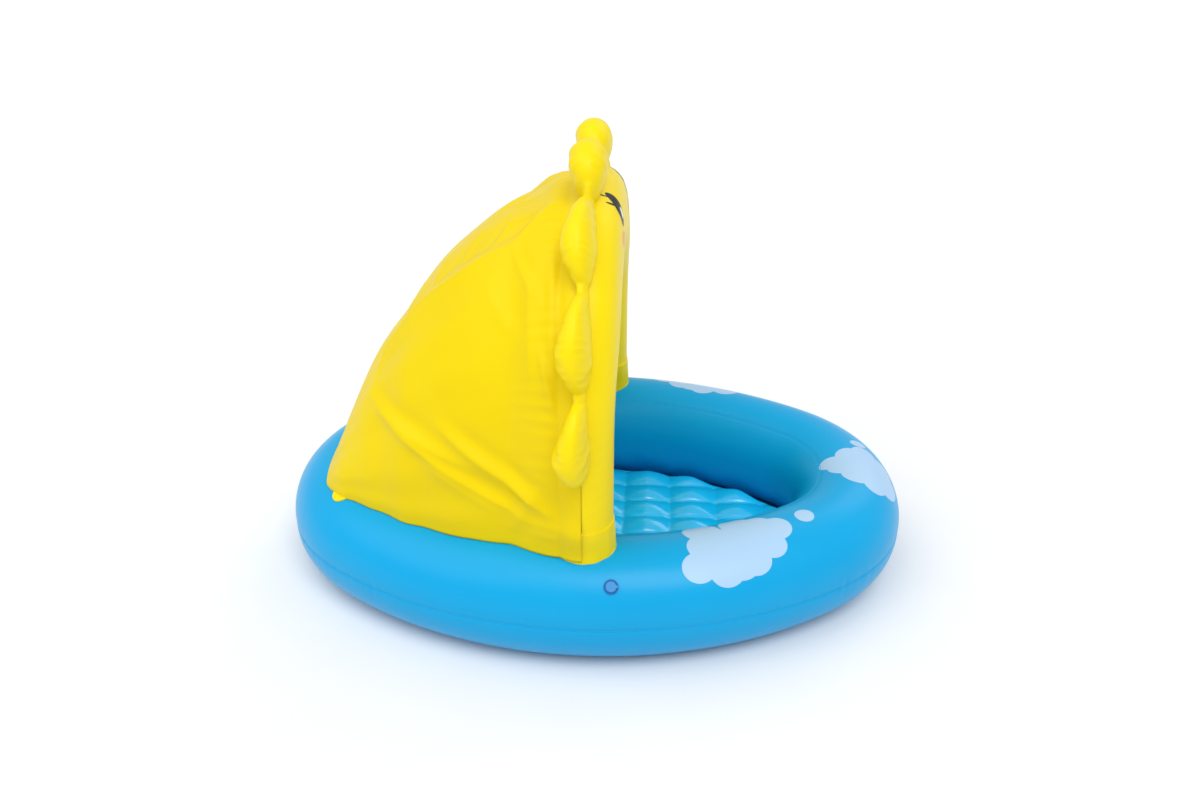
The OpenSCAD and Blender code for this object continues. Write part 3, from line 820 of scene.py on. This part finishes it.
def build_face():
    angles = np.linspace(0, 2 * PI, 120, endpoint=False)
    for side, label in ((-1, "near"), (1, "far")):
        eye = face_surface(side * EYE[0], EYE[1], side * EYE_TILT)
        finish_piece(disc_mesh(f"eye_print_{label}", egg(0.0125, 0.0245, 0.25, angles), angles, eye, 14),
                     black_ink, "yellow_vinyl")
        shine = face_surface(side * SHINE[0], SHINE[1], side * EYE_TILT, 0.0004)
        finish_piece(disc_mesh(f"eye_shine_{label}", egg(0.0042, 0.0085, 0, angles), angles, shine, 8),
                     white_ink, "yellow_vinyl")
        for k, ends in enumerate(LASHES):
            line = [(side * aside, up) for aside, up in ends]
            lash = stroke_mesh(f"lash_print_{label}_{k}", line, 0.0038, eye, 14)
            finish_piece(lash, black_ink, "yellow_vinyl")
        cheek = face_surface(side * CHEEK[0], CHEEK[1])
        finish_piece(disc_mesh(f"cheek_print_{label}", egg(0.017, 0.012, 0, angles), angles, cheek, 10),
                     cheek_ink, "yellow_vinyl")
    bow = np.linspace(-1, 1, 30)
    smile = np.stack([SMILE_HALF * bow, SMILE_RISE * bow ** 2], -1)
    mouth = stroke_mesh("smile_print", smile, 0.0045, face_surface(0, SMILE_Z))
    finish_piece(mouth, black_ink, "yellow_vinyl")


# ---- Nodes that stay as they are ----

def dress_nodes():
    dressed = {"floor_lower_sheet": blue_film, "canopy_corner_patches": yellow_film}
    for valve in ("ring", "floor", "arch"):
        dressed[f"{valve}_valve_seat"] = seat_vinyl
        for part in ("tube", "plug", "flap"):
            dressed[f"{valve}_valve_{part}"] = clear_vinyl
    for name, made in dressed.items():
        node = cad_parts[name]
        for slot in node.material_slots:
            slot.material = made
        if not node.material_slots:
            node.data.materials.append(made)


# ---- Studio ----

WORLD_LIGHT = 0.64
# Each light's direction, round from -Y towards +X and up from the floor, its spread and its strength
STUDIO_LIGHTS = [("softbox", 25, 57, 34, 1.34), ("left_fill", -58, 54, 60, 1.05),
                 ("rim", 145, 36, 30, 0.25)]
PAPER_HALF, PAPER_Z = 40, -0.0006


def build_studio():
    scene = bpy.context.scene
    scene.view_settings.view_transform = "Standard"
    corners = [(x * PAPER_HALF, y * PAPER_HALF, PAPER_Z) for x, y in ((-1, -1), (1, -1), (1, 1), (-1, 1))]
    floor = make_mesh("studio_floor", corners, [(0, 1, 2, 3)])
    paper = material("studio_paper", linear(232, 233, 234), linear(229, 230, 232), 0.8, grain=0.0)
    floor.data.materials.append(paper)
    world = bpy.data.worlds.new("studio")
    scene.world = world
    world.use_nodes = True
    background = world.node_tree.nodes["Background"]
    background.inputs["Color"].default_value = (1, 1, 1, 1)
    background.inputs["Strength"].default_value = WORLD_LIGHT

    for name, turn, rise, spread, strength in STUDIO_LIGHTS:
        light = bpy.data.lights.new(name, "SUN")
        light.energy = strength
        light.angle = math.radians(spread)
        lamp = bpy.data.objects.new(name, light)
        scene.collection.objects.link(lamp)
        turn, rise = math.radians(turn), math.radians(rise)
        lamp.rotation_euler = bpy_direction([-math.sin(turn) * math.cos(rise),
                                             math.cos(turn) * math.cos(rise), -math.sin(rise)])


def bpy_direction(aim):
    """Rotation that points an object's own -Z along a direction."""
    return Vector(aim).to_track_quat("-Z", "Y").to_euler()


# The camera's direction in degrees, its distance from the point it looks at, its lens and its sensor
CAMERA_AZIMUTH, CAMERA_ELEVATION = 3.3, 27.4
CAMERA_DISTANCE = 1.826
CAMERA_LENS, CAMERA_SENSOR = 32.31, 36
AIM_HEIGHT, AIM_RIGHT, AIM_UP = 0.274, 0.0082, 0.0100


def build_camera():
    azimuth, elevation = math.radians(CAMERA_AZIMUTH), math.radians(CAMERA_ELEVATION)
    right = np.array([math.cos(azimuth), math.sin(azimuth), 0])
    back = np.array([math.sin(azimuth) * math.cos(elevation), -math.cos(azimuth) * math.cos(elevation),
                     math.sin(elevation)])
    up = np.cross(back, right)
    target = np.array([0, 0, AIM_HEIGHT]) + AIM_RIGHT * right + AIM_UP * up
    data = bpy.data.cameras.new("camera")
    data.sensor_width = CAMERA_SENSOR
    data.lens = CAMERA_LENS
    camera = bpy.data.objects.new("camera", data)
    bpy.context.scene.collection.objects.link(camera)
    camera.location = target + CAMERA_DISTANCE * back
    camera.rotation_euler = bpy_direction(-back)
    bpy.context.scene.camera = camera


build_ring()
build_clouds()
build_floor()
build_arch()
build_welds()
build_cuffs()
build_rays()
build_canopy()
build_face()
dress_nodes()
build_studio()
build_camera()
